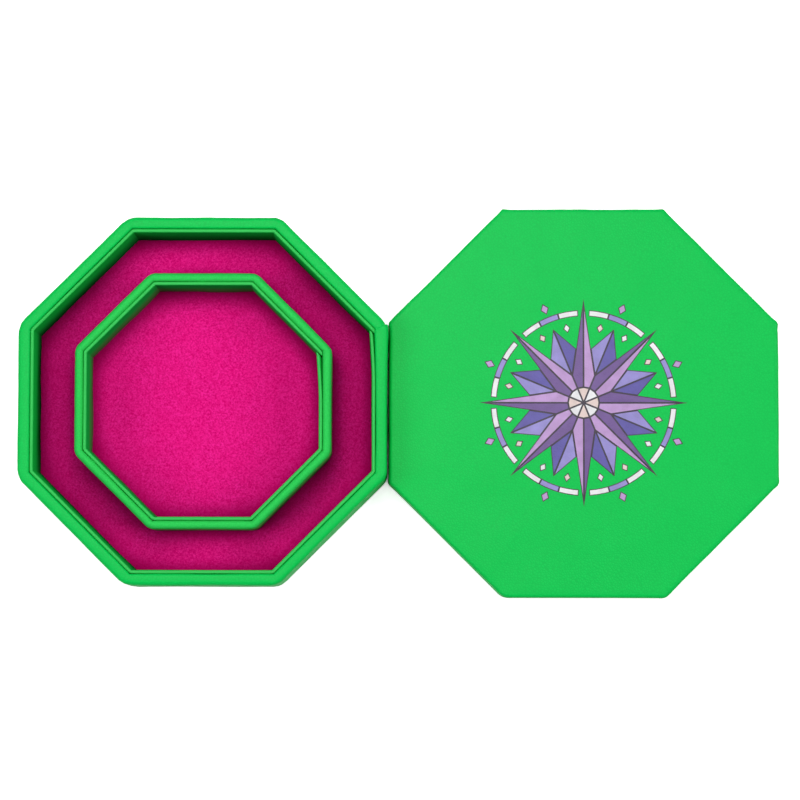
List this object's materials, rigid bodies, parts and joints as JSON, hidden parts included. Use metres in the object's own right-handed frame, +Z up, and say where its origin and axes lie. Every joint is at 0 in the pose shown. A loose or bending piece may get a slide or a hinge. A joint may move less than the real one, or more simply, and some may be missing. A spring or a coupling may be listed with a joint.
{
  "type": "dice tray box",
  "caption": "Octagonal dice tray with a velvet rolling well inside a dice channel, beside its lift-off lid; green leather-like skin over rigid boards.",
  "frame": {"origin": "centre of the tray's underside, where it rests", "axes": "+Z up out of the tray, +X from the tray towards the lid that lies beside it"},
  "size_m": [0.4351, 0.2236, 0.04],
  "materials": {
    "green_skin": "satin embossed synthetic leather",
    "liner_skin": "thin satin synthetic leather",
    "magenta_velvet": "short pile",
    "grey_board": "raw board",
    "base_sheet": "matt synthetic leather"
  },
  "bodies": {
    "tray": {"tray_base_sheet": "base_sheet", "tray_base_board": "grey_board", "tray_floor_velvet": "magenta_velvet", "tray_wall_board_1": "grey_board", "tray_wall_board_2": "grey_board", "tray_wall_board_3": "grey_board", "tray_wall_board_4": "grey_board", "tray_wall_board_5": "grey_board", "tray_wall_board_6": "grey_board", "tray_wall_board_7": "grey_board", "tray_wall_board_8": "grey_board", "tray_wall_skin": "green_skin", "channel_liner_card": "grey_board", "channel_liner_skin": "liner_skin", "ring_board_1": "grey_board", "ring_board_2": "grey_board", "ring_board_3": "grey_board", "ring_board_4": "grey_board", "ring_board_5": "grey_board", "ring_board_6": "grey_board", "ring_board_7": "grey_board", "ring_board_8": "grey_board", "ring_skin": "green_skin", "well_liner_card": "grey_board", "well_liner_skin": "liner_skin"},
    "lid": {"lid_panel_board": "grey_board", "lid_wall_board_1": "grey_board", "lid_wall_board_2": "grey_board", "lid_wall_board_3": "grey_board", "lid_wall_board_4": "grey_board", "lid_wall_board_5": "grey_board", "lid_wall_board_6": "grey_board", "lid_wall_board_7": "grey_board", "lid_wall_board_8": "grey_board", "lid_skin": "green_skin", "lid_velvet": "magenta_velvet"}
  },
  "joints": [
    {"name": "lid_lift", "type": "slide", "parent": "tray", "child": "lid", "axis": [0, 0, 1], "range_m": [0, 0.06]}
  ]
}
